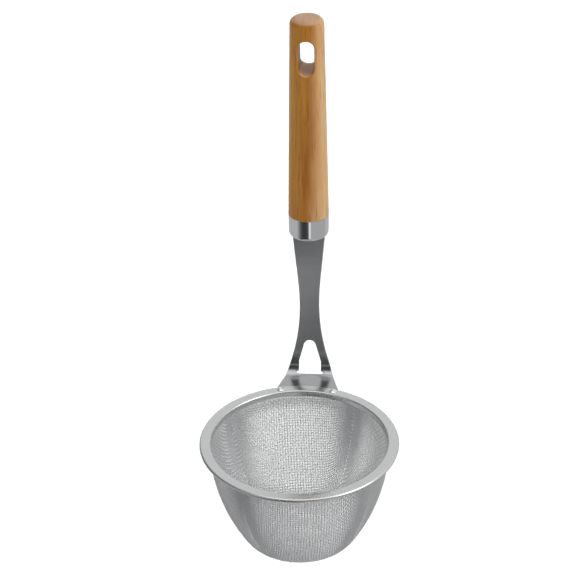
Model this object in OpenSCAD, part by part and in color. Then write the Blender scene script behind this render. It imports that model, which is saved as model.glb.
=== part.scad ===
// Hand tea strainer: woven wire bowl on a hemmed sheet rim, riveted to a bent neck plate
// with a turned wooden grip. Units are millimetres, +Z up, handle towards +Y.
// The origin is the centre of the rim in the plane of its flat underside.

/* [Rim] */
// Outside radius of the rim
rim_r = 52; // [44:1:62]
// Height of the rim from its underside to its top
rim_h = 2; // [1.8:0.1:3]
// Thickness of the rim sheet
sheet_t = 0.4; // [0.3:0.05:0.5]
// Width of the flat ring seen from above, out to the outside radius
rim_w = 5.9; // [5.4:0.1:6.4]
// How far the inner collar hangs below the rim's top
collar_h = 3.4; // [3:0.1:5]

/* [Basket] */
// Depth of the wire bowl below the rim's top
basket_h = 58.9; // [45:1:75]
// Thickness of the woven wire, two wires thick
mesh_t = 0.6; // [0.5:0.05:0.7]
// Lean of the wall from upright where it leaves the rim, in degrees
wall_lean = 2.7; // [1:0.1:6]
// Radius of the curve that the wall follows downwards
wall_curve_r = 110; // [95:1:150]
// Radius of the corner between the wall and the floor
corner_r = 7; // [4:0.5:12]

/* [Neck plate] */
// Thickness of the neck plate
plate_t = 1.5; // [1.2:0.1:2]
// Distance from the rim's outer edge to the middle of the upright blade
blade_gap = 17; // [15:0.5:22]
// Inside radius of the bend between the tab and the blade
bend_r = 6; // [4:0.5:7]
// Half width of the blade at its waist
waist_half = 5.3; // [4.5:0.1:6.5]
// Height of the waist above the rim's top
waist_z = 41; // [36:0.5:46]
// Radius of the blade's edge curve below the waist
lower_curve_r = 128; // [115:1:150]
// Radius of the blade's edge curve above the waist
upper_curve_r = 165; // [130:5:220]
// Slope of the blade's edges above the upper curve, width for length
upper_slope = 0.095; // [0.06:0.005:0.12]
// Slope of the edges from the blade's foot to the rim, width for length
lower_slope = 0.318; // [0.28:0.002:0.34]
// Radius of the rounded top of the opening
window_r = 3.2; // [2.6:0.1:3.6]
// Height of the opening's top above the rim's top
window_top = 18.7; // [16:0.1:22]
// Half width of the opening at the bend
window_half = 6; // [5:0.1:6.6]
// Half width across the two pointed corners at the foot of the opening
ear_half = 7.6; // [6.8:0.1:8.2]

/* [Rivets] */
// Radius of a rivet's shank
rivet_r = 1.2; // [1:0.05:1.4]
// Radius of a rivet's domed head
rivet_head_r = 2.15; // [1.9:0.05:2.4]
// Height of a rivet's domed head
rivet_head_h = 0.9; // [0.6:0.05:1.2]
// Distance of each rivet from the middle plane
rivet_x = 14.1; // [12:0.1:16]

/* [Ferrule] */
// Outside radius of the ferrule at the wood
ferrule_r = 10.65; // [9.6:0.05:12]
// Length of the ferrule
ferrule_h = 12.3; // [10:0.1:16]
// Radius of the ferrule's rounded lower shoulder
ferrule_round = 2.2; // [1.6:0.1:3]
// Wall thickness of the ferrule
ferrule_t = 0.6; // [0.5:0.1:0.9]

/* [Grip] */
// Height of the wood line above the rim's top
wood_z = 97.3; // [85:0.1:110]
// Length of the grip above the ferrule
grip_h = 110; // [90:1:130]
// Radius of the grip at its far end
grip_end_r = 8.7; // [8:0.1:9.6]
// Rounding of the grip's far end
grip_round = 3.4; // [2:0.1:4]
// Width of the hanging slot
slot_w = 8.3; // [7:0.1:9]
// Length of the hanging slot, end to end
slot_h = 18.5; // [14:0.5:24]
// Distance from the slot's top to the far end
slot_top_gap = 9.9; // [9:0.1:13]
// Depth of the bore in the wood for the tang
bore_h = 50; // [40:1:60]

/* [Fits] */
// Gap around a rivet's shank
rivet_gap = 0.05; // [0.03:0.01:0.1]
// Gap between the woven wire and the sheet beside it
mesh_gap = 0.1; // [0.05:0.05:0.2]
// Gap around the blade in the ferrule's slit
slit_gap = 0.15; // [0.1:0.05:0.3]
// Gap between the ferrule and the wood inside it
tenon_gap = 0.1; // [0.05:0.05:0.2]

/* [Hidden] */
$fn = 96;
big = 400;

// Sizes at which pieces of the neck plate meet are kept to whole thousandths.
function snap(v) = round(v * 1000) / 1000;

// Rim levels and radii. The rim's underside is at zero.
edge_r = rim_h / 2;
edge_cx = rim_r - edge_r;
rim_in_r = rim_r - rim_w;
inner_bend_r = 0.9;
inner_bend_cx = rim_in_r + inner_bend_r;
inner_bend_cz = rim_h - inner_bend_r;
under_top_z = rim_h - sheet_t;

// Basket, measured on the outside of the woven wire.
basket_r = rim_in_r + sheet_t + mesh_gap + mesh_t;
basket_z = rim_h - 3;
basket_floor = rim_h - basket_h;
wall_cx = basket_r - wall_curve_r * cos(wall_lean);
wall_cz = basket_z + wall_curve_r * sin(wall_lean);
corner_cz = basket_floor + corner_r;
corner_cx = wall_cx + sqrt(pow(wall_curve_r - corner_r, 2) - pow(corner_cz - wall_cz, 2));
corner_turn = atan2(wall_cz - corner_cz, corner_cx - wall_cx);
mesh_top_z = under_top_z - mesh_gap;
mesh_edge_r = edge_cx - 0.2;
clamp_in_r = basket_r + mesh_gap;
under_in_r = clamp_in_r + 0.2;

// Neck plate. Heights along the blade are counted from the rim's top.
blade_y = rim_r + blade_gap;
bend_mid_r = bend_r + plate_t / 2;
bend_cy = blade_y - bend_mid_r;
bend_steps = 8;
bend_run = bend_mid_r * PI / 2;
foot_s = bend_r - rim_h;
edge_ease = 0.03;
lower_turn = min(atan(lower_slope), asin((waist_z - foot_s - 2) / lower_curve_r));
upper_turn = atan(upper_slope);
foot_slope = tan(lower_turn);
low_s = snap(waist_z - lower_curve_r * sin(lower_turn));
high_s = snap(waist_z + upper_curve_r * sin(upper_turn));
foot_half = snap(edge_half(foot_s));
tab_half = snap(foot_half + foot_slope * bend_run);
flange_foot_r = rim_r - 0.3;
flange_foot_turn = 23;
flange_fillet_r = 3;
window_cs = window_top - window_r;
window_low_s = foot_s + 1;
window_turn = atan((window_half - window_r) / (window_cs - window_low_s));
ear_start = 40;
ear_tip = 49;
ear_end = 58;
ear_middle = 45;
window_foot_half = window_half + 0.6;
shoulder_s = wood_z - ferrule_h + ferrule_round;
tang_half = 3.9;
tang_end = shoulder_s + 42;

// Rivets.
rivet_line_r = rim_r - 2.8;
rivet_y = sqrt(pow(rivet_line_r, 2) - pow(rivet_x, 2));
tail_r = 1.6;
tail_h = 0.7;
dome_r = (pow(rivet_head_r, 2) + pow(rivet_head_h, 2)) / (2 * rivet_head_h);

// Ferrule and grip.
ferrule_s = wood_z - ferrule_h;
ferrule_foot_r = ferrule_r - 0.15;
ferrule_in_r = ferrule_foot_r - ferrule_t;
tenon_r = ferrule_in_r - tenon_gap;
tenon_s = shoulder_s + 0.4;
grip_end = wood_z + grip_h;
bore_r = 4.4;
bore_end = tenon_s + bore_h;
filler_end = tang_end + 1;
slot_s = grip_end - slot_top_gap - slot_h / 2;

// Rise of an edge that follows a circle through a turn and then runs straight. The straight
// run stands out by a hair, so that it crosses the circle cleanly instead of touching it.
function edge_rise(run, radius, turn) =
    run < radius * sin(turn) - 0.001
    ? radius - sqrt(radius * radius - run * run)
    : radius * (1 - cos(turn)) + tan(turn) * (run - radius * sin(turn)) + edge_ease;

// Half width of the blade at a height along it.
function edge_half(s) =
    s < waist_z
    ? waist_half + edge_rise(waist_z - s, lower_curve_r, lower_turn)
    : waist_half + edge_rise(s - waist_z, upper_curve_r, upper_turn);

// Moves to the blade's middle plane, with heights counted from the rim's top.
module on_handle() {
    translate([0, blade_y, rim_h])
        children();
}

module rivet_holes() {
    for (side = [-1, 1])
        translate([side * rivet_x, rivet_y, -big / 2])
            cylinder(r = rivet_r + rivet_gap, h = big);
}

// ---- Rim ----

// The part of a flat ring that lies in one box.
module ring_piece(outer_r, inner_r, corner, size) {
    intersection() {
        difference() {
            circle(r = outer_r);
            circle(r = inner_r);
        }
        translate(corner)
            square(size);
    }
}

module rim_profile() {
    translate([inner_bend_cx, under_top_z])
        square([edge_cx - inner_bend_cx, sheet_t]);
    translate([rim_in_r, rim_h - collar_h])
        square([sheet_t, collar_h - inner_bend_r]);
    translate([under_in_r, 0])
        square([edge_cx - under_in_r, sheet_t]);
    translate([edge_cx, edge_r])
        ring_piece(edge_r, edge_r - sheet_t, [0, -2], [4, 4]);
    translate([inner_bend_cx, inner_bend_cz])
        ring_piece(inner_bend_r, inner_bend_r - sheet_t, [-4, 0], [4, 4]);
}

module rim_ring() {
    color([0.78, 0.79, 0.79])
        difference() {
            rotate_extrude()
                rim_profile();
            rivet_holes();
        }
}

module clamp_ring() {
    color([0.70, 0.71, 0.71])
        difference() {
            translate([0, 0, sheet_t])
                cylinder(r = mesh_edge_r, h = mesh_top_z - mesh_t - sheet_t);
            translate([0, 0, -big / 2])
                cylinder(r = clamp_in_r, h = big);
            rivet_holes();
        }
}

// ---- Basket ----

// Radius of the bowl's upright neck, moved inwards by inset.
function neck_r(inset) =
    wall_cx + sqrt(pow(wall_curve_r - inset, 2) - pow(basket_z - wall_cz, 2));

// Everything inside the wire bowl's outer skin, moved inwards by inset.
module bowl_region(inset) {
    turn_z = corner_cz - (corner_r - inset) * sin(corner_turn);
    intersection() {
        translate([wall_cx, wall_cz])
            circle(r = wall_curve_r - inset);
        translate([0, turn_z])
            square([big, basket_z - turn_z]);
    }
    translate([0, basket_z])
        square([neck_r(inset), inner_bend_cz - basket_z]);
    translate([0, basket_floor + inset])
        square([corner_cx, turn_z - basket_floor - inset]);
    translate([corner_cx, corner_cz])
        intersection() {
            circle(r = corner_r - inset);
            translate([0, -corner_r])
                square([corner_r, corner_r + turn_z - corner_cz]);
        }
}

module mesh_basket() {
    lip_r = mesh_top_z - inner_bend_cz;
    lip_cx = neck_r(mesh_t) + lip_r;
    color([0.66, 0.68, 0.69])
        difference() {
            rotate_extrude() {
                difference() {
                    bowl_region(0);
                    bowl_region(mesh_t);
                }
                translate([lip_cx, inner_bend_cz])
                    ring_piece(lip_r, 0, [-4, 0], [4, 4]);
                translate([lip_cx, mesh_top_z - mesh_t])
                    square([mesh_edge_r - lip_cx, mesh_t]);
            }
            rivet_holes();
        }
}

// ---- Neck plate ----

// Outline of the blade, from the top of the bend to the shoulders inside the ferrule.
module blade_outline() {
    low_half = snap(edge_half(low_s));
    high_half = snap(edge_half(high_s));
    top_half = snap(edge_half(shoulder_s));
    difference() {
        polygon([
            [foot_half, foot_s],
            [low_half, low_s],
            [high_half, high_s],
            [top_half, shoulder_s],
            [-top_half, shoulder_s],
            [-high_half, high_s],
            [-low_half, low_s],
            [-foot_half, foot_s]
        ]);
        for (side = [-1, 1]) {
            intersection() {
                translate([side * (waist_half + lower_curve_r), waist_z])
                    circle(r = lower_curve_r);
                translate([side * big / 2, waist_z - big / 2])
                    square([big, big], center = true);
            }
            intersection() {
                translate([side * (waist_half + upper_curve_r), waist_z])
                    circle(r = upper_curve_r);
                translate([side * big / 2, waist_z + big / 2])
                    square([big, big], center = true);
            }
        }
    }
    translate([-tang_half, shoulder_s])
        square([2 * tang_half, tang_end - shoulder_s]);
}

// The opening in the upright part of the blade.
module window_outline() {
    side_x = snap(window_r * cos(window_turn));
    side_s = snap(window_cs + window_r * sin(window_turn));
    translate([0, window_cs])
        circle(r = window_r);
    polygon([
        [window_half, foot_s - 1],
        [window_half, window_low_s],
        [side_x, side_s],
        [-side_x, side_s],
        [-window_half, window_low_s],
        [-window_half, foot_s - 1]
    ]);
}

// Removes what a side edge of the flat plate leaves off the bend. It twists once round the
// bend, so that the edge stays the straight line that it was before bending.
module side_cutter() {
    reach = 3 * bend_r;
    translate([0, 0, foot_half])
        linear_extrude(height = tab_half - foot_half, twist = -90, slices = bend_steps)
            polygon([[0, 0], [reach, 0], [reach, -reach], [-reach, -reach]]);
}

// The opening's foot: two pointed corners and a straight lower edge across the bend. The
// corners' upper sides run on into the opening, so that they cross its sides cleanly.
module window_foot() {
    inner_half = 2 * window_half - ear_half;
    tip = bend_r * sin(ear_tip - ear_middle);
    start = bend_r * sin(ear_start - ear_middle);
    inner = 2 * start - tip;
    end = bend_r * sin(ear_end - ear_middle);
    rotate([0, 0, ear_middle])
        rotate([0, 90, 0])
            translate([0, 0, bend_r - 2])
                linear_extrude(height = plate_t + 4)
                    polygon([
                        [inner_half, inner],
                        [ear_half, tip],
                        [window_foot_half, end],
                        [-window_foot_half, end],
                        [-ear_half, tip],
                        [-inner_half, inner]
                    ]);
}

// The bend between blade and tab, made about +Z and starting at the blade, along +X.
module bend_upright() {
    difference() {
        rotate_extrude(angle = 90)
            translate([bend_r, -tab_half])
                square([plate_t, 2 * tab_half]);
        rotate([0, 0, -90])
            rotate_extrude(angle = 90 + ear_middle)
                translate([bend_r - 1, -window_half])
                    square([plate_t + 2, 2 * window_half]);
        window_foot();
        for (side = [0, 1])
            mirror([0, 0, side])
                side_cutter();
    }
}

// Flat tab under the rim, with a foot that follows the rim and a fillet at each side.
module tab_outline() {
    edge_len = sqrt(1 + foot_slope * foot_slope);
    out = [1 / edge_len, foot_slope / edge_len];
    reach = (tab_half + foot_slope * bend_cy) / edge_len + flange_fillet_r;
    fillet_d = flange_foot_r + flange_fillet_r;
    along = sqrt(fillet_d * fillet_d - reach * reach);
    fillet_c = reach * out + along * [-out[1], out[0]];
    touch_edge = fillet_c - flange_fillet_r * out;
    touch_rim = fillet_c * flange_foot_r / fillet_d;
    foot_edge = flange_foot_r * [sin(flange_foot_turn), cos(flange_foot_turn)];
    difference() {
        union() {
            for (side = [0, 1])
                mirror([side, 0])
                    difference() {
                        polygon([
                            [0, 0],
                            [0, bend_cy],
                            [tab_half, bend_cy],
                            touch_edge,
                            touch_rim,
                            touch_rim / 2
                        ]);
                        translate(fillet_c)
                            circle(r = flange_fillet_r);
                    }
            intersection() {
                circle(r = flange_foot_r);
                polygon([
                    [0, 0],
                    2 * foot_edge,
                    [0, 3 * rim_r],
                    [-2 * foot_edge[0], 2 * foot_edge[1]]
                ]);
            }
        }
        circle(r = under_in_r);
    }
}

module neck_plate() {
    color([0.47, 0.48, 0.49])
        difference() {
            union() {
                on_handle()
                    translate([0, plate_t / 2, 0])
                        rotate([90, 0, 0])
                            linear_extrude(height = plate_t)
                                difference() {
                                    blade_outline();
                                    window_outline();
                                }
                translate([0, bend_cy, bend_r])
                    rotate([-90, 0, 90])
                        bend_upright();
                translate([0, 0, -plate_t])
                    linear_extrude(height = plate_t)
                        tab_outline();
            }
            rivet_holes();
        }
}

// Two rivets, each with a low dome on the rim and a flat tail under the tab.
module rivets() {
    color([0.80, 0.81, 0.82])
        for (side = [-1, 1])
            translate([side * rivet_x, rivet_y, 0]) {
                translate([0, 0, -plate_t])
                    cylinder(r = rivet_r, h = plate_t + rim_h);
                translate([0, 0, -plate_t - tail_h])
                    cylinder(r = tail_r, h = tail_h);
                translate([0, 0, rim_h])
                    intersection() {
                        translate([0, 0, rivet_head_h - dome_r])
                            sphere(r = dome_r);
                        cylinder(r = rivet_head_r + 1, h = rivet_head_h + 1);
                    }
            }
}

// ---- Handle ----

module ferrule_outside() {
    polygon([
        [0, ferrule_s],
        [ferrule_foot_r - ferrule_round, ferrule_s],
        [ferrule_foot_r, ferrule_s + ferrule_round],
        [ferrule_r, wood_z],
        [0, wood_z]
    ]);
    translate([ferrule_foot_r - ferrule_round, ferrule_s + ferrule_round])
        ring_piece(ferrule_round, 0, [0, -4], [4, 4]);
}

module ferrule_inside() {
    in_round = ferrule_round - ferrule_t;
    translate([0, ferrule_s + ferrule_t])
        square([ferrule_in_r - in_round, big]);
    translate([0, ferrule_s + ferrule_round])
        square([ferrule_in_r, big]);
    translate([ferrule_in_r - in_round, ferrule_s + ferrule_round])
        ring_piece(in_round, 0, [0, -4], [4, 4]);
}

module ferrule() {
    slit_half = edge_half(shoulder_s) + slit_gap;
    slit_w = plate_t + 2 * slit_gap;
    color([0.84, 0.85, 0.87])
        on_handle()
            difference() {
                rotate_extrude()
                    difference() {
                        ferrule_outside();
                        ferrule_inside();
                    }
                translate([-slit_half, -slit_w / 2, ferrule_s - 1])
                    cube([2 * slit_half, slit_w, ferrule_round + 1]);
            }
}

module grip_profile() {
    polygon([
        [0, tenon_s],
        [tenon_r - 0.6, tenon_s],
        [tenon_r, tenon_s + 0.6],
        [tenon_r, wood_z],
        [ferrule_r, wood_z],
        [grip_end_r, grip_end - grip_round],
        [grip_end_r - grip_round, grip_end - grip_round],
        [grip_end_r - grip_round, grip_end],
        [0, grip_end]
    ]);
    translate([grip_end_r - grip_round, grip_end - grip_round])
        ring_piece(grip_round, 0, [0, 0], [4 * grip_round, 4 * grip_round]);
}

// The hanging slot, cut through from front to back.
module slot_cut() {
    run = slot_h / 2 - slot_w / 2;
    translate([0, big / 2, slot_s])
        rotate([90, 0, 0])
            linear_extrude(height = big) {
                for (side = [-1, 1])
                    translate([0, side * run])
                        circle(r = slot_w / 2);
                square([slot_w, 2 * run], center = true);
            }
}

module bore_cut(end_s) {
    translate([0, 0, tenon_s - 1])
        cylinder(r = bore_r, h = end_s - tenon_s + 1);
}

module grip() {
    color([0.78, 0.55, 0.32])
        on_handle()
            difference() {
                rotate_extrude()
                    grip_profile();
                bore_cut(bore_end);
                slot_cut();
            }
}

// Resin that holds the tang in the bore.
module tang_filler() {
    color([0.72, 0.66, 0.52])
        on_handle()
            difference() {
                translate([0, 0, tenon_s])
                    cylinder(r = bore_r, h = filler_end - tenon_s);
                translate([-tang_half, -plate_t / 2, shoulder_s])
                    cube([2 * tang_half, plate_t, tang_end - shoulder_s]);
            }
}

grip();
ferrule();
neck_plate();
tang_filler();
rim_ring();
clamp_ring();
mesh_basket();
rivets();
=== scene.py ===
import bpy
import bmesh
import math
import numpy as np
from mathutils import Matrix, Vector


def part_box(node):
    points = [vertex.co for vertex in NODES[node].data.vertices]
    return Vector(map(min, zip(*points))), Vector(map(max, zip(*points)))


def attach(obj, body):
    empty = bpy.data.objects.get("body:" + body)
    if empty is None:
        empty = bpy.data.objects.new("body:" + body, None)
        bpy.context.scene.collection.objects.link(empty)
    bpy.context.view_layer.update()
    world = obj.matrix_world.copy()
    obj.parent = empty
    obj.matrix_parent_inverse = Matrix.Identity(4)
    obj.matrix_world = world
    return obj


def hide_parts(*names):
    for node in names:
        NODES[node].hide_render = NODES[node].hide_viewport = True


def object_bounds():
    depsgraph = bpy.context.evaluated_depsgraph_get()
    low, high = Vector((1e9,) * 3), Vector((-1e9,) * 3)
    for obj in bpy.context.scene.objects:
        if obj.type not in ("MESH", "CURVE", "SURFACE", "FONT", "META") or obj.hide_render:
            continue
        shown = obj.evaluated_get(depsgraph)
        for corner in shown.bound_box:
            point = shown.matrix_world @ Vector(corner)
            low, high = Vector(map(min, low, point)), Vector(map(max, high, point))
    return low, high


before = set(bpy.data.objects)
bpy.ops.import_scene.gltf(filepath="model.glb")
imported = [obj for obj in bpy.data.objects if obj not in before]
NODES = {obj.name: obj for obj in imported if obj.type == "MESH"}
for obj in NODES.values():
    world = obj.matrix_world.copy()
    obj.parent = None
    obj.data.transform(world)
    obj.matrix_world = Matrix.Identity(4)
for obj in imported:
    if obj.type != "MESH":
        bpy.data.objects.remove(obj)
CAD_BOX = [list(p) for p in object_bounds()]
SCENE = bpy.context.scene
MM = 0.001

# Sizes of the part, in millimetres. Heights are above the rim's underside.
RIM_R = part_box("rim_ring")[1].x / MM
RIM_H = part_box("rim_ring")[1].z / MM
RIM_IN_R = RIM_R - 5.9
SHEET_T = 0.4
COLLAR_LOW_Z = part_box("rim_ring")[0].z / MM
MESH_T = 0.6
BASKET_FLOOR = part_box("mesh_basket")[0].z / MM
BASKET_R = RIM_IN_R + SHEET_T + 0.1 + MESH_T
BASKET_Z = RIM_H - 3
WALL_LEAN = math.radians(2.7)
WALL_CURVE_R = 110
CORNER_R = 7
PLATE_T = 1.5
BLADE_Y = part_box("neck_plate")[1].y / MM - PLATE_T / 2
BEND_R = 6


# ---- Helpers ----

def link(obj):
    SCENE.collection.objects.link(obj)
    return obj


def mesh_piece(name, verts, faces, smooth=True):
    """A new object from points in millimetres."""
    mesh = bpy.data.meshes.new(name)
    mesh.from_pydata([tuple(np.array(v) * MM) for v in verts], [], faces)
    mesh.update()
    if smooth:
        mesh.polygons.foreach_set("use_smooth", [True] * len(mesh.polygons))
    return link(bpy.data.objects.new(name, mesh))


def quad_mesh(name, verts, quads):
    """A new smooth object from arrays of points in millimetres and of four-sided faces."""
    mesh = bpy.data.meshes.new(name)
    mesh.vertices.add(len(verts))
    mesh.vertices.foreach_set("co", (verts * MM).astype(np.float32).ravel())
    mesh.loops.add(4 * len(quads))
    mesh.loops.foreach_set("vertex_index", quads.astype(np.int32).ravel())
    mesh.polygons.add(len(quads))
    mesh.polygons.foreach_set("loop_start", np.arange(0, 4 * len(quads), 4, dtype=np.int32))
    mesh.polygons.foreach_set("loop_total", np.full(len(quads), 4, np.int32))
    mesh.polygons.foreach_set("use_smooth", np.ones(len(quads), bool))
    mesh.update(calc_edges=True)
    return link(bpy.data.objects.new(name, mesh))


def lathe(name, profile, centre, turns):
    """A closed profile of (radius, height) points turned about an upright axis."""
    profile = np.array(profile)
    n = len(profile)
    angle = np.linspace(0, 2 * math.pi, turns, endpoint=False)
    verts = np.zeros((turns, n, 3))
    verts[:, :, 0] = centre[0] + profile[:, 0] * np.cos(angle)[:, None]
    verts[:, :, 1] = centre[1] + profile[:, 0] * np.sin(angle)[:, None]
    verts[:, :, 2] = centre[2] + profile[:, 1]
    a, b = np.meshgrid(np.arange(turns), np.arange(n), indexing="ij")
    a2, b2 = (a + 1) % turns, (b + 1) % n
    quads = np.stack([a * n + b, a2 * n + b, a2 * n + b2, a * n + b2], -1).reshape(-1, 4)
    return quad_mesh(name, verts.reshape(-1, 3), quads)


def arc(cx, cz, r, start, end, steps):
    """Points on a circle in a profile, with angles in degrees."""
    return [
        (cx + r * math.cos(math.radians(a)), cz + r * math.sin(math.radians(a)))
        for a in np.linspace(start, end, steps + 1)
    ]


def sharp_by_angle(obj, degrees):
    """Smooth faces, with edges kept sharp where the faces turn by more than an angle."""
    mesh = obj.data
    bm = bmesh.new()
    bm.from_mesh(mesh)
    limit = math.radians(degrees)
    for face in bm.faces:
        face.smooth = True
    for edge in bm.edges:
        edge.smooth = len(edge.link_faces) == 2 and edge.calc_face_angle(0) < limit
    bm.to_mesh(mesh)
    bm.free()


def close_up(obj, merge=1e-6):
    """Merge doubled points, drop edges without faces, and turn every face outwards."""
    bm = bmesh.new()
    bm.from_mesh(obj.data)
    bmesh.ops.remove_doubles(bm, verts=bm.verts, dist=merge)
    bmesh.ops.delete(bm, geom=[e for e in bm.edges if not e.link_faces], context="EDGES")
    bmesh.ops.recalc_face_normals(bm, faces=bm.faces)
    if bm.calc_volume(signed=True) < 0:
        bmesh.ops.reverse_faces(bm, faces=bm.faces)
    bm.to_mesh(obj.data)
    bm.free()


def finish_piece(obj, slot, material, *nodes):
    obj.data.materials.clear()
    obj.data.materials.append(material)
    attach(obj, "root")
    if nodes:
        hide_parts(*nodes)
    return obj


# ---- Materials ----

def new_material(name):
    mat = bpy.data.materials.new(name)
    mat.use_nodes = True
    tree = mat.node_tree
    return mat, tree, tree.nodes["Principled BSDF"]


def add(tree, kind, **values):
    node = tree.nodes.new(kind)
    for key, value in values.items():
        if key in node.inputs:
            node.inputs[key].default_value = value
        else:
            setattr(node, key, value)
    return node


def ramp(tree, factor, stops):
    node = tree.nodes.new("ShaderNodeValToRGB")
    elements = node.color_ramp.elements
    while len(elements) > 1:
        elements.remove(elements[-1])
    elements[0].position = stops[0][0]
    elements[0].color = (*stops[0][1], 1)
    for position, colour in stops[1:]:
        element = elements.new(position)
        element.color = (*colour, 1)
    tree.links.new(factor, node.inputs["Fac"])
    return node.outputs["Color"]


def smooth_step(tree, value, low, high):
    """0 below low and 1 above high, with a soft change between them."""
    node = add(tree, "ShaderNodeMapRange", interpolation_type="SMOOTHSTEP")
    node.inputs["From Min"].default_value = low
    node.inputs["From Max"].default_value = high
    tree.links.new(value, node.inputs["Value"])
    return node.outputs["Result"]


def blend(tree, factor, first, second):
    """Mix of two colours. Each is a socket or a plain (r, g, b)."""
    node = add(tree, "ShaderNodeMix", data_type="RGBA")
    tree.links.new(factor, node.inputs["Factor"])
    for key, colour in (("A", first), ("B", second)):
        if isinstance(colour, tuple):
            node.inputs[key].default_value = (*colour, 1)
        else:
            tree.links.new(colour, node.inputs[key])
    return node.outputs["Result"]


def object_axis(tree, axis):
    """X, Y or Z of the object's own coordinates, in metres."""
    coords = tree.nodes.new("ShaderNodeTexCoord")
    split = tree.nodes.new("ShaderNodeSeparateXYZ")
    tree.links.new(coords.outputs["Object"], split.inputs["Vector"])
    return split.outputs[axis]


def noise(tree, scale, stretch=(1, 1, 1), detail=4.0, rough=0.5):
    """Noise on the object's own coordinates, in metres, stretched per axis."""
    coords = tree.nodes.new("ShaderNodeTexCoord")
    mapping = tree.nodes.new("ShaderNodeMapping")
    mapping.inputs["Scale"].default_value = stretch
    tree.links.new(coords.outputs["Object"], mapping.inputs["Vector"])
    node = add(tree, "ShaderNodeTexNoise", Scale=scale, Detail=detail, Roughness=rough)
    tree.links.new(mapping.outputs["Vector"], node.inputs["Vector"])
    return node.outputs["Fac"]


def bump(tree, bsdf, height, strength, distance):
    node = add(tree, "ShaderNodeBump", Strength=strength, Distance=distance)
    tree.links.new(height, node.inputs["Height"])
    tree.links.new(node.outputs["Normal"], bsdf.inputs["Normal"])


# Heights over which the painted shade low on a steel sheet fades out to the full tone.
SHADE_FADE_LOW_Z, SHADE_FADE_HIGH_Z = 0.010, 0.082    # metres


def steel(name, tone, rough_low, rough_high, stretch=(1, 1, 1), grain=0.05, scale=900.0,
          painted_shade_tone=None):
    """Steel sheet or wire with fine brushing and soft clouding of its gloss. An optional darker
    tone
    is painted shade: blended in low down near the bend and fading out higher up."""
    mat, tree, bsdf = new_material(name)
    bsdf.inputs["Metallic"].default_value = 1.0
    cloud = noise(tree, 60.0, detail=3.0)
    dark = tuple(c * 0.975 for c in tone)
    colour = ramp(tree, cloud, [(0.3, dark), (0.7, tone)])
    # Painted shade: the colour darkens towards the bottom of the sheet, near its bend.
    if painted_shade_tone:
        height = smooth_step(tree, object_axis(tree, "Z"), SHADE_FADE_LOW_Z, SHADE_FADE_HIGH_Z)
        colour = blend(tree, height, painted_shade_tone, colour)
    tree.links.new(colour, bsdf.inputs["Base Color"])
    brush = noise(tree, scale, stretch, detail=6.0, rough=0.6)
    rough = ramp(tree, brush, [(0.25, (rough_low,) * 3), (0.75, (rough_high,) * 3)])
    tree.links.new(rough, bsdf.inputs["Roughness"])
    if grain:
        bump(tree, bsdf, brush, grain, 0.00001)
    return mat


def end_grain(tree):
    """1 on faces across the grain, which are the grip's end and the ends of its slot."""
    geometry = tree.nodes.new("ShaderNodeNewGeometry")
    split = tree.nodes.new("ShaderNodeSeparateXYZ")
    tree.links.new(geometry.outputs["Normal"], split.inputs["Vector"])
    size = add(tree, "ShaderNodeMath", operation="ABSOLUTE")
    tree.links.new(split.outputs["Z"], size.inputs[0])
    return smooth_step(tree, size.outputs["Value"], 0.45, 0.85)


# The border between the wood's two tones: how far it wavers, and across what width it runs,
# in metres of X and of the noise added to X.
BORDER_WAVER, BORDER_START, BORDER_END = 0.012, 0.006, 0.015


def sapwood_and_lit_side(tree, colour):
    """Paler wood on the key-lit +X side of the grip, partly sapwood and partly painted light, with
    a wavering border along the grain.
    """
    waver = noise(tree, 60.0, (1.0, 1.0, 0.25), detail=3.0)
    shift = add(tree, "ShaderNodeMath", operation="MULTIPLY_ADD")
    shift.inputs[1].default_value = BORDER_WAVER
    tree.links.new(waver, shift.inputs[0])
    tree.links.new(object_axis(tree, "X"), shift.inputs[2])
    factor = smooth_step(tree, shift.outputs["Value"], BORDER_START, BORDER_END)
    streaks = noise(tree, 230.0, (1.0, 1.0, 0.06), detail=4.0)
    sapwood_and_light = ramp(tree, streaks, [(0.3, (0.50, 0.29, 0.115)), (0.7, (0.60, 0.385, 0.195))])
    return blend(tree, factor, colour, sapwood_and_light)


def wood_material():
    """Honey-coloured hardwood with long grain, short dark pores, pale end grain and one side paler,
    partly painted light.
    """
    mat, tree, bsdf = new_material("turned_wood")
    bands = noise(tree, 130.0, (1.0, 1.0, 0.05), detail=5.0, rough=0.55)
    colour = ramp(tree, bands, [
        (0.30, (0.290, 0.088, 0.004)),
        (0.45, (0.410, 0.158, 0.009)),
        (0.56, (0.500, 0.225, 0.022)),
        (0.70, (0.610, 0.330, 0.070)),
    ])
    # Painted light: the side that the key light falls on is made paler, partly as sapwood.
    colour = sapwood_and_lit_side(tree, colour)
    pores = noise(tree, 1500.0, (1.0, 1.0, 0.05), detail=2.0)
    flecks = ramp(tree, pores, [(0.30, (0.55, 0.47, 0.40)), (0.42, (1, 1, 1))])
    mix = add(tree, "ShaderNodeMix", data_type="RGBA", blend_type="MULTIPLY")
    mix.inputs["Factor"].default_value = 0.8
    tree.links.new(colour, mix.inputs["A"])
    tree.links.new(flecks, mix.inputs["B"])
    pale = noise(tree, 420.0, (1.0, 0.35, 1.0), detail=4.0)
    end_colour = ramp(tree, pale, [(0.3, (0.52, 0.295, 0.165)), (0.7, (0.60, 0.37, 0.22))])
    wood = blend(tree, end_grain(tree), mix.outputs["Result"], end_colour)
    tree.links.new(wood, bsdf.inputs["Base Color"])
    rough = ramp(tree, bands, [(0.3, (0.36,) * 3), (0.7, (0.46,) * 3)])
    tree.links.new(rough, bsdf.inputs["Roughness"])
    bsdf.inputs["Specular IOR Level"].default_value = 0.30
    bsdf.inputs["Coat Weight"].default_value = 0.07
    bsdf.inputs["Coat Roughness"].default_value = 0.25
    bump(tree, bsdf, pores, 0.25, 0.00006)
    return mat


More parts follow.
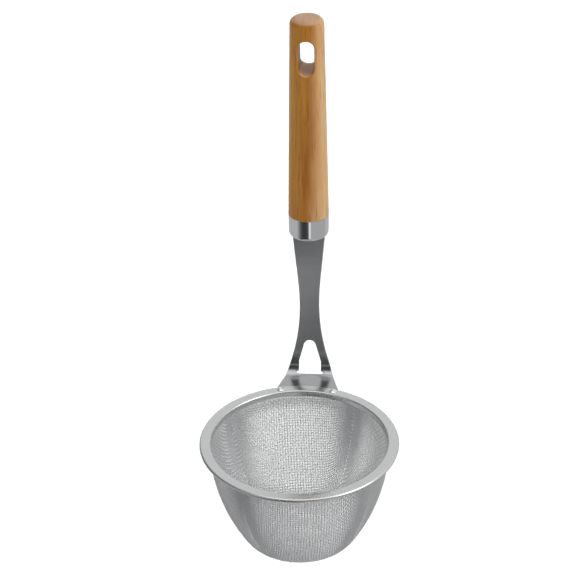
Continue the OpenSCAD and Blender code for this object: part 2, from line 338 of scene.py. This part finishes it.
def resin_material():
    mat, tree, bsdf = new_material("set_resin")
    cloud = noise(tree, 300.0)
    colour = ramp(tree, cloud, [(0.3, (0.42, 0.35, 0.22)), (0.7, (0.52, 0.45, 0.30))])
    tree.links.new(colour, bsdf.inputs["Base Color"])
    bsdf.inputs["Roughness"].default_value = 0.55
    bump(tree, bsdf, cloud, 0.2, 0.0001)
    return mat


WOOD = wood_material()
RIM_STEEL = steel("satin_rim_steel", (0.72, 0.73, 0.72), 0.20, 0.30, scale=700.0)
# The neck steel has painted shade: a darker tone low down, towards its bend.
NECK_STEEL = steel(
    "satin_neck_steel", (0.88, 0.885, 0.89), 0.19, 0.24, (1, 1, 0.2), 0.0,
    painted_shade_tone=(0.48, 0.485, 0.485),
)
POLISHED = steel("polished_steel", (0.80, 0.81, 0.815), 0.05, 0.10, grain=0.04)
RIVET_STEEL = steel("bright_rivet_steel", (0.88, 0.89, 0.90), 0.12, 0.20)
WIRE_STEEL = steel("bright_wire_steel", (0.87, 0.877, 0.883), 0.32, 0.42, grain=0.0)
CLAMP_STEEL = steel("plain_clamp_steel", (0.62, 0.63, 0.63), 0.32, 0.45)
RESIN = resin_material()


# ---- Woven wire bowl ----

PITCH = 1.48
WIRE_R = 0.178
CRIMP = 0.155
WEAVE_TURN = math.radians(11)
SQUARE_MAX = 1.95
STRETCH_START, STRETCH_RUN = 15, 35
DIAGONAL_STRETCH, BETWEEN_SHRINK = 0.14, 0.30

MID = MESH_T / 2
WALL_CX = BASKET_R - WALL_CURVE_R * math.cos(WALL_LEAN)
WALL_CZ = BASKET_Z + WALL_CURVE_R * math.sin(WALL_LEAN)
CORNER_CZ = BASKET_FLOOR + CORNER_R
CORNER_CX = WALL_CX + math.sqrt((WALL_CURVE_R - CORNER_R) ** 2 - (CORNER_CZ - WALL_CZ) ** 2)
CORNER_TURN = math.atan2(WALL_CZ - CORNER_CZ, CORNER_CX - WALL_CX)
CORNER_LEN = (CORNER_R - MID) * (math.pi / 2 - CORNER_TURN)
WALL_LEN = (WALL_CURVE_R - MID) * (CORNER_TURN - WALL_LEAN)
HEM_LEN = 2.1
BOWL_LEN = CORNER_CX + CORNER_LEN + WALL_LEN + HEM_LEN


def bowl_profile(s):
    """Radius, height and outward normal of the wire cloth at a length from the centre."""
    s1 = CORNER_CX
    s2 = s1 + CORNER_LEN
    s3 = s2 + WALL_LEN
    a2 = -math.pi / 2 + (s - s1) / (CORNER_R - MID)
    a3 = -CORNER_TURN + (s - s2) / (WALL_CURVE_R - MID)
    pick = [s < s1, s < s2, s < s3]
    r = np.select(pick, [
        s,
        CORNER_CX + (CORNER_R - MID) * np.cos(a2),
        WALL_CX + (WALL_CURVE_R - MID) * np.cos(a3),
    ], BASKET_R - MID)
    z = np.select(pick, [
        np.full_like(s, BASKET_FLOOR + MID),
        CORNER_CZ + (CORNER_R - MID) * np.sin(a2),
        WALL_CZ + (WALL_CURVE_R - MID) * np.sin(a3),
    ], BASKET_Z + s - s3)
    turn = np.select(pick, [np.full_like(s, -math.pi / 2), a2, a3], 0.0)
    return r, z, np.cos(turn), np.sin(turn)


def drawn_cloth(x, y):
    """Where a point of the flat square cloth lies once it is drawn into the bowl. The cells
    stay square at four sides and turn into steep diamonds between them."""
    rho = np.hypot(x, y)
    phi = np.arctan2(y, x)
    sector = np.round(phi / (math.pi / 2))
    t = (phi - sector * math.pi / 2) / (math.pi / 4)
    pull = np.clip((rho - STRETCH_START) / STRETCH_RUN, 0, 1)
    pull = pull * pull * (3 - 2 * pull)
    t2 = t * t
    s = rho * (1 + pull * (DIAGONAL_STRETCH * t2 * t2 - BETWEEN_SHRINK * t2 * (1 - t2)))
    r, z, nr, nz = bowl_profile(s)
    k = np.clip(rho / np.maximum(r, 1e-6), 1, SQUARE_MAX)
    bent = k * t / np.sqrt(1 + (k * k - 1) * t2)
    azimuth = sector * math.pi / 2 + bent * math.pi / 4 + WEAVE_TURN
    c, d = np.cos(azimuth), np.sin(azimuth)
    point = np.stack([r * c, r * d, z], -1)
    normal = np.stack([nr * c, nr * d, nz], -1)
    return s, point, normal


def wires(name, flip):
    """One of the two sets of wires, each a crimped tube with four sides."""
    count = int(BOWL_LEN * 1.05 / PITCH)
    rows = np.arange(-count, count) + 0.5
    steps = np.arange(-2 * count, 2 * count + 1) / 2
    across, along = np.meshgrid(rows, steps, indexing="ij")
    wave = np.cos(math.pi * (across - 0.5)) * np.sin(math.pi * along)
    if flip:
        s, point, normal = drawn_cloth(across * PITCH, along * PITCH)
        wave = -wave
    else:
        s, point, normal = drawn_cloth(along * PITCH, across * PITCH)
    point = point + normal * (wave * CRIMP)[..., None]
    tangent = np.zeros_like(point)
    tangent[:, 1:-1] = point[:, 2:] - point[:, :-2]
    tangent /= np.maximum(np.linalg.norm(tangent, axis=-1, keepdims=True), 1e-9)
    side = np.cross(tangent, normal)
    side /= np.maximum(np.linalg.norm(side, axis=-1, keepdims=True), 1e-9)
    up = np.cross(side, tangent)
    inside = (s < BOWL_LEN)
    inside[:, 0] = inside[:, -1] = False
    before = np.zeros_like(inside)
    before[:, 1:] = inside[:, :-1]
    after = np.zeros_like(inside)
    after[:, :-1] = inside[:, 1:]
    inside &= before | after
    before[:, 1:] = inside[:, :-1]
    after[:, :-1] = inside[:, 1:]
    number = np.cumsum(inside.ravel()).reshape(inside.shape) - 1
    keep = inside.ravel()
    ring = np.stack([
        point + up * WIRE_R, point + side * WIRE_R,
        point - up * WIRE_R, point - side * WIRE_R,
    ], axis=-2).reshape(-1, 4, 3)[keep]
    first = number[inside & after] * 4
    quads = []
    for k in range(4):
        m = (k + 1) % 4
        quads.append(np.stack([first + k, first + m, first + 4 + m, first + 4 + k], -1))
    start = number[inside & ~before] * 4
    end = number[inside & ~after] * 4
    quads.append(np.stack([start + 3, start + 2, start + 1, start], -1))
    quads.append(np.stack([end, end + 1, end + 2, end + 3], -1))
    return quad_mesh(name, ring.reshape(-1, 3), np.concatenate(quads))


warp = finish_piece(wires("mesh_warp_wires", False), "mesh", WIRE_STEEL, "mesh_basket")
weft = finish_piece(wires("mesh_weft_wires", True), "mesh", WIRE_STEEL)


# ---- Rim ----

def rim_piece():
    """The hemmed sheet rim: collar, flat flange and rolled outer edge, with eased sheet ends."""
    edge_r = RIM_H / 2
    edge_cx = RIM_R - edge_r
    bend_r = 0.9
    bend_cx, bend_cz = RIM_IN_R + bend_r, RIM_H - bend_r
    end_r = SHEET_T / 2
    under_r = BASKET_R + 0.3
    profile = [(RIM_IN_R, COLLAR_LOW_Z + end_r)]
    profile += arc(bend_cx, bend_cz, bend_r, 180, 90, 10)
    profile += arc(edge_cx, edge_r, edge_r, 90, -90, 20)
    profile += arc(under_r + end_r, end_r, end_r, -90, -270, 6)
    profile += arc(edge_cx, edge_r, edge_r - SHEET_T, -90, 90, 12)
    profile += arc(bend_cx, bend_cz, bend_r - SHEET_T, 90, 180, 6)
    profile += arc(RIM_IN_R + end_r, COLLAR_LOW_Z + end_r, end_r, 0, -150, 5)
    sheet = lathe("rim_sheet", profile, (0, 0, 0), 240)
    close_up(sheet)
    return sheet


rim = finish_piece(rim_piece(), "rim", RIM_STEEL, "rim_ring")


# ---- Rivets ----

def rivet_piece():
    """Two rivets with low domes above the rim and flat tails below the tab."""
    lo, hi = (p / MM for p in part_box("rivets"))
    head_r, shank_r, tail_r, tail_h = 2.15, 1.2, 1.6, 0.7
    head_h = hi.z - RIM_H
    dome_r = (head_r ** 2 + head_h ** 2) / (2 * head_h)
    span = math.degrees(math.asin(head_r / dome_r))
    profile = arc(0, hi.z - dome_r, dome_r, 90, 90 - span + 5, 8)
    profile += arc(head_r - 0.12, RIM_H + 0.13, 0.12, 35, -90, 4)
    profile += [(shank_r, RIM_H), (shank_r, lo.z + tail_h), (tail_r, lo.z + tail_h)]
    profile += arc(tail_r - 0.2, lo.z + 0.2, 0.2, 0, -90, 3) + [(0, lo.z)]
    objects = []
    for x in (lo.x + head_r, hi.x - head_r):
        objects.append(lathe("rivet_pair", profile, (x, (lo.y + hi.y) / 2, 0), 32))
    bm = bmesh.new()
    for obj in objects:
        bm.from_mesh(obj.data)
    bm.to_mesh(objects[0].data)
    bm.free()
    bpy.data.objects.remove(objects[1])
    close_up(objects[0])
    sharp_by_angle(objects[0], 40)
    return objects[0]


finish_piece(rivet_piece(), "rivet", RIVET_STEEL, "rivets")


# ---- Neck plate ----

WAIST_HALF, WAIST_S = 5.3, 41.0
LOWER_CURVE_R, UPPER_CURVE_R = 128.0, 165.0
SHOULDER_S = 87.2
TANG_HALF = 3.9
TANG_END = (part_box("neck_plate")[1].z / MM) - RIM_H
WINDOW_R, WINDOW_TOP, WINDOW_HALF = 3.2, 18.7, 6.0
EAR_HALF, WINDOW_FOOT_HALF = 7.6, 6.6
TAB_FOOT_R, TAB_IN_R, TAB_TURN, FILLET_R = RIM_R - 0.3, BASKET_R + 0.3, 23, 3.0
EASE = 0.3
BEND_MID_R = BEND_R + PLATE_T / 2
BEND_LEN = BEND_MID_R * math.pi / 2
BEND_CY = BLADE_Y - BEND_MID_R
FOOT_S = BEND_R - RIM_H
LOWER_TURN = min(math.atan(0.318), math.asin((WAIST_S - FOOT_S - 2) / LOWER_CURVE_R))
UPPER_TURN = math.atan(0.095)


def edge_half(s):
    """Half width of the blade at a height above the rim's top."""
    run, r, turn = WAIST_S - s, LOWER_CURVE_R, LOWER_TURN
    if s > WAIST_S:
        run, r, turn = s - WAIST_S, UPPER_CURVE_R, UPPER_TURN
    if run < r * math.sin(turn):
        return WAIST_HALF + r - math.sqrt(r * r - run * run)
    return WAIST_HALF + r * (1 - math.cos(turn)) + math.tan(turn) * (run - r * math.sin(turn))


def along(s):
    """Length along the flat plate, from the tab's end of the bend, for a height."""
    return BEND_LEN + s - FOOT_S


def plate_outline():
    """Right half of the flat plate's outline, from the tab's foot up to the tang."""
    slope = math.tan(LOWER_TURN)
    foot_half = edge_half(FOOT_S)
    tab_half = foot_half + slope * BEND_LEN
    size = math.hypot(1, slope)
    out = (1 / size, slope / size)
    reach = (tab_half + slope * BEND_CY) / size + FILLET_R
    fillet_d = TAB_FOOT_R + FILLET_R
    up = math.sqrt(fillet_d ** 2 - reach ** 2)
    cx, cy = reach * out[0] - up * out[1], reach * out[1] + up * out[0]
    points = []
    for a in np.linspace(0, TAB_TURN, 12):
        t = math.radians(a)
        points.append((TAB_IN_R * math.sin(t), TAB_IN_R * math.cos(t)))
    touch = math.degrees(math.atan2(cx, cy))
    for a in np.linspace(TAB_TURN, touch, 6):
        t = math.radians(a)
        points.append((TAB_FOOT_R * math.sin(t), TAB_FOOT_R * math.cos(t)))
    start = math.degrees(math.atan2(-cy, -cx))
    end = math.degrees(math.atan2(-out[1], -out[0]))
    points += arc(cx, cy, FILLET_R, start, end, 8)[1:]
    points = [(x, y - BEND_CY) for x, y in points]
    points += [(tab_half, 0), (foot_half, BEND_LEN)]
    for s in np.linspace(FOOT_S + 2, SHOULDER_S, 44):
        points.append((edge_half(s), along(s)))
    points += [(TANG_HALF, along(SHOULDER_S)), (TANG_HALF, along(TANG_END))]
    return points


def window_outline():
    """Right half of the opening, from the middle of its foot up to its rounded top."""
    low_s = FOOT_S + 1
    centre = WINDOW_TOP - WINDOW_R
    turn = math.degrees(math.atan((WINDOW_HALF - WINDOW_R) / (centre - low_s)))
    bend = [BEND_LEN - BEND_MID_R * math.radians(a) for a in (58, 49, 40)]
    points = [
        (WINDOW_FOOT_HALF, bend[0]), (EAR_HALF, bend[1]), (WINDOW_HALF, bend[2]),
        (WINDOW_HALF, along(low_s)),
    ]
    return points + arc(0, along(centre), WINDOW_R, turn, 86, 10)


def bent(x, v, n):
    """Where a point of the flat plate lies once it is bent. n points away from the bend."""
    if v <= 0:
        return (x, BEND_CY + v, BEND_R - BEND_MID_R - n)
    if v >= BEND_LEN:
        return (x, BLADE_Y + n, BEND_R + v - BEND_LEN)
    a = v / BEND_MID_R
    r = BEND_MID_R + n
    return (x, BEND_CY + r * math.sin(a), BEND_R - r * math.cos(a))


def neck_piece():
    """The flat plate with eased edges, cut into strips over the bend and then bent."""
    data = bpy.data.curves.new("neck_sheet_outline", "CURVE")
    data.dimensions = "2D"
    data.fill_mode = "BOTH"
    data.extrude = PLATE_T / 2 - EASE
    data.bevel_depth = EASE
    data.bevel_resolution = 3
    data.offset = -EASE
    for half in (plate_outline(), window_outline()):
        loop = half + [(-x, v) for x, v in reversed(half) if x > 1e-6]
        spline = data.splines.new("POLY")
        spline.points.add(len(loop) - 1)
        for point, (x, v) in zip(spline.points, loop):
            point.co = (x, v, 0, 1)
        spline.use_cyclic_u = True
    flat = link(bpy.data.objects.new("neck_sheet_outline", data))
    graph = bpy.context.evaluated_depsgraph_get()
    mesh = bpy.data.meshes.new_from_object(flat.evaluated_get(graph))
    bpy.data.objects.remove(flat)
    bm = bmesh.new()
    bm.from_mesh(mesh)
    bmesh.ops.remove_doubles(bm, verts=bm.verts, dist=1e-5)
    for v in np.linspace(0, BEND_LEN, 19):
        bmesh.ops.bisect_plane(
            bm, geom=bm.verts[:] + bm.edges[:] + bm.faces[:],
            plane_co=(0, v, 0), plane_no=(0, 1, 0), dist=1e-5,
        )
    for vert in bm.verts:
        vert.co = Vector(bent(*vert.co)) * MM
    bm.to_mesh(mesh)
    bm.free()
    mesh.name = "neck_sheet"
    obj = link(bpy.data.objects.new("neck_sheet", mesh))
    close_up(obj)
    sharp_by_angle(obj, 35)
    obj.modifiers.new("weighted", "WEIGHTED_NORMAL").keep_sharp = True
    return obj


finish_piece(neck_piece(), "neck", NECK_STEEL, "neck_plate")


# ---- Grip ----

GRIP_LOW, GRIP_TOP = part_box("grip")[0].z / MM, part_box("grip")[1].z / MM
WOOD_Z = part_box("ferrule")[1].z / MM
FERRULE_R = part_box("ferrule")[1].x / MM
TENON_R = FERRULE_R - 0.7
GRIP_END_R, GRIP_ROUND = 8.7, 3.4
BORE_R, BORE_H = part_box("tang_filler")[1].x / MM, 50.0
SLOT_R, SLOT_RUN = 4.15, 5.1
SLOT_Z = GRIP_TOP - 9.9 - SLOT_RUN - SLOT_R
SLOT_EASE = 0.9


def grip_r(z):
    """Radius of the grip's long cone at a height."""
    share = (z - WOOD_Z) / (GRIP_TOP - GRIP_ROUND - WOOD_Z)
    return FERRULE_R + (GRIP_END_R - FERRULE_R) * share


def slot_cutter():
    """A slot through the grip whose mouths flare out in a rounded edge at its surface."""
    outline = []
    for side, turn in ((1, 0), (-1, 180)):
        for a in np.linspace(turn, turn + 180, 25):
            t = math.radians(a)
            outline.append((math.cos(t), math.sin(t), side * SLOT_RUN))
    rings = [(0.0, SLOT_EASE + 0.8)]
    for a in np.linspace(0, 80, 9):
        t = math.radians(a)
        rings.append((SLOT_EASE * (1 - math.cos(t)), SLOT_EASE * (1 - math.sin(t))))
    grow, depth = rings[-1]
    slope = math.tan(math.radians(10))
    rings.append((grow + 2.0, depth - 2.0 * slope))
    mouths = []
    for front in (-1, 1):
        mouth = []
        for grow, depth in rings:
            ring = []
            for c, d, run in outline:
                x, z = (SLOT_R + grow) * c, SLOT_Z + run + (SLOT_R + grow) * d
                y = math.sqrt(max(grip_r(z) ** 2 - x * x, 1.0)) - depth
                ring.append((x, BLADE_Y + front * y, z))
            mouth.append(ring)
        mouths.append(mouth)
    loops = mouths[0][::-1] + mouths[1]
    n = len(outline)
    verts = [v for ring in loops for v in ring]
    faces = []
    for k in range(len(loops) - 1):
        for i in range(n):
            j = (i + 1) % n
            faces.append((k * n + i, k * n + j, (k + 1) * n + j, (k + 1) * n + i))
    for front, first in ((-1, 0), (1, (len(loops) - 1) * n)):
        verts.append((0, BLADE_Y + front * (GRIP_END_R + 5), SLOT_Z))
        for i in range(n):
            faces.append((first + i, first + (i + 1) % n, len(verts) - 1))
    return mesh_piece("slot_cutter", verts, faces)


def grip_piece():
    """The turned wood with its tenon, blind bore and hanging slot."""
    end_z = GRIP_TOP - GRIP_ROUND
    profile = [(BORE_R, GRIP_LOW), (TENON_R - 0.6, GRIP_LOW), (TENON_R, GRIP_LOW + 0.6)]
    profile += [(TENON_R, WOOD_Z), (FERRULE_R - 0.15, WOOD_Z), (FERRULE_R, WOOD_Z + 0.15)]
    profile += [(grip_r(z), z) for z in np.linspace(WOOD_Z + 4, end_z - 4, 24)]
    profile += arc(GRIP_END_R - GRIP_ROUND, end_z, GRIP_ROUND, 0, 90, 12)
    profile += [(2.5, GRIP_TOP), (0, GRIP_TOP), (0, GRIP_LOW + BORE_H), (BORE_R, GRIP_LOW + BORE_H)]
    body = lathe("grip_turned", profile, (0, BLADE_Y, 0), 160)
    cutter = slot_cutter()
    close_up(body)
    close_up(cutter)
    cut = body.modifiers.new("slot", "BOOLEAN")
    cut.operation, cut.solver, cut.object = "DIFFERENCE", "EXACT", cutter
    graph = bpy.context.evaluated_depsgraph_get()
    mesh = bpy.data.meshes.new_from_object(body.evaluated_get(graph))
    body.modifiers.clear()
    body.data = mesh
    mesh.name = "grip_turned"
    bpy.data.objects.remove(cutter)
    sharp_by_angle(body, 32)
    return body


finish_piece(grip_piece(), "wood", WOOD, "grip")


# ---- CAD nodes that stay ----

for node, material in (
    ("ferrule", POLISHED), ("tang_filler", RESIN), ("clamp_ring", CLAMP_STEEL),
):
    NODES[node].data.materials.clear()
    NODES[node].data.materials.append(material)


# ---- Stage ----

FLOOR_GAP, FLOOR_HALF = 0.05, 6000
AIM = Vector((0, 0.03, 0.06))

def dot_mask(tree, direction, near, far):
    """1 close to a direction and 0 away from it, by angles in degrees from it."""
    coords = tree.nodes.new("ShaderNodeTexCoord")
    dot = add(tree, "ShaderNodeVectorMath", operation="DOT_PRODUCT")
    tree.links.new(coords.outputs["Generated"], dot.inputs[0])
    dot.inputs[1].default_value = Vector(direction).normalized()
    low, high = math.cos(math.radians(far)), math.cos(math.radians(near))
    return smooth_step(tree, dot.outputs["Value"], low, high)


def toward(offset, elevation):
    """Unit direction: offset turns right from straight at the front, in degrees."""
    a, e = math.radians(offset), math.radians(elevation)
    return (math.sin(a) * math.cos(e), -math.cos(a) * math.cos(e), math.sin(e))


def make_world():
    """Soft light and dark panels round the object. The camera itself sees plain white."""
    world = bpy.data.worlds.new("studio")
    SCENE.world = world
    world.use_nodes = True
    tree = world.node_tree
    base = tree.nodes.new("ShaderNodeRGB")
    base.outputs[0].default_value = (0.50, 0.50, 0.51, 1)
    colour = base.outputs[0]
    # Each panel: its direction, the angles at which it is full and gone, and its tone.
    panels = (
        ((0, 0, 1), 12, 50, (1.25, 1.25, 1.26)),
        (toward(180, 30), 25, 60, (0.72, 0.73, 0.74)),
        (toward(80, -25), 30, 60, (0.54, 0.54, 0.54)),
        (toward(-95, 20), 25, 60, (0.20, 0.20, 0.20)),
        (toward(-85, -32), 22, 32, (0.48, 0.48, 0.48)),
        (toward(-20, -45), 10, 42, (0.035, 0.036, 0.038)),
        (toward(60, -25), 47, 53, (0.42, 0.42, 0.42)),
        (toward(100, 22), 22, 46, (0.80, 0.796, 0.785)),
        (toward(0, 20), 16, 34, (0.075, 0.077, 0.08)),
        (toward(11, -32), 2, 6, (0.9, 0.9, 0.9)),
    )
    for direction, near, far, tone in panels:
        colour = blend(tree, dot_mask(tree, direction, near, far), colour, tone)
    tree.links.new(colour, tree.nodes["Background"].inputs["Color"])
    backdrop = add(tree, "ShaderNodeBackground", Color=(1, 1, 1, 1), Strength=1.0)
    path = tree.nodes.new("ShaderNodeLightPath")
    mix = tree.nodes.new("ShaderNodeMixShader")
    tree.links.new(path.outputs["Is Camera Ray"], mix.inputs[0])
    tree.links.new(tree.nodes["Background"].outputs[0], mix.inputs[1])
    tree.links.new(backdrop.outputs[0], mix.inputs[2])
    tree.links.new(mix.outputs[0], tree.nodes["World Output"].inputs["Surface"])


def make_floor():
    """A plain floor just under the bowl. It doesn't show in the steel, which has the panels."""
    mat, tree, bsdf = new_material("pale_floor")
    bsdf.inputs["Base Color"].default_value = (0.30, 0.30, 0.30, 1)
    bsdf.inputs["Roughness"].default_value = 0.9
    bsdf.inputs["Specular IOR Level"].default_value = 0.0
    z = CAD_BOX[0][2] / MM - FLOOR_GAP
    h = FLOOR_HALF
    floor = mesh_piece(
        "floor", [(-h, -h, z), (h, -h, z), (h, h, z), (-h, h, z)], [(0, 1, 2, 3)], False
    )
    floor.data.materials.append(mat)
    floor.visible_glossy = False
    return floor


def area_light(name, offset, elevation, distance, size, power):
    """A round soft light aimed at the object."""
    data = bpy.data.lights.new(name, "AREA")
    data.shape = "DISK"
    data.size = size
    data.energy = power
    lamp = link(bpy.data.objects.new(name, data))
    reach = Vector(toward(offset, elevation)) * distance
    lamp.location = AIM + reach
    lamp.rotation_mode = "QUATERNION"
    lamp.rotation_quaternion = (-reach).to_track_quat("-Z", "Y")


def make_camera():
    """The photograph's view: place and angles of a camera with a long lens."""
    tilt, turn, roll = (math.radians(a) for a in (30.4117, -5.7555, 0.9215))
    ahead = Vector((
        math.sin(turn) * math.cos(tilt), math.cos(turn) * math.cos(tilt), -math.sin(tilt)
    ))
    level = Vector((math.cos(turn), -math.sin(turn), 0))
    down = ahead.cross(level)
    right = math.cos(roll) * level + math.sin(roll) * down
    low = math.cos(roll) * down - math.sin(roll) * level
    data = bpy.data.cameras.new("camera")
    data.sensor_width = 36.0
    data.lens = 118.1918
    data.clip_start, data.clip_end = 0.01, 50
    camera = link(bpy.data.objects.new("camera", data))
    turned = Matrix((right, -low, -ahead)).transposed().to_4x4()
    camera.matrix_world = Matrix.Translation((0.0765562, -0.8051472, 0.5686453)) @ turned
    SCENE.camera = camera


def floor_light(floor):
    """A broad light on the floor alone, from the camera's side. The rim and the wires cast
    its shadow, which dims the floor that shows through the mesh."""
    data = bpy.data.lights.new("floor_light", "SUN")
    data.energy = 16.3
    data.angle = math.radians(6)
    lamp = link(bpy.data.objects.new("floor_light", data))
    lamp.rotation_mode = "QUATERNION"
    ahead = -(SCENE.camera.location - Vector((0, 0, -0.02)))
    lamp.rotation_quaternion = ahead.to_track_quat("-Z", "Y")
    lit = bpy.data.collections.new("lit_floor")
    lit.objects.link(floor)
    lamp.light_linking.receiver_collection = lit
    casting = bpy.data.collections.new("floor_shadow_makers")
    for obj in (warp, weft, rim):
        casting.objects.link(obj)
    lamp.light_linking.blocker_collection = casting


make_world()
make_camera()
floor_light(make_floor())
area_light("key_light", 70, 35, 1.4, 0.9, 7)
SCENE.view_settings.view_transform = "Standard"
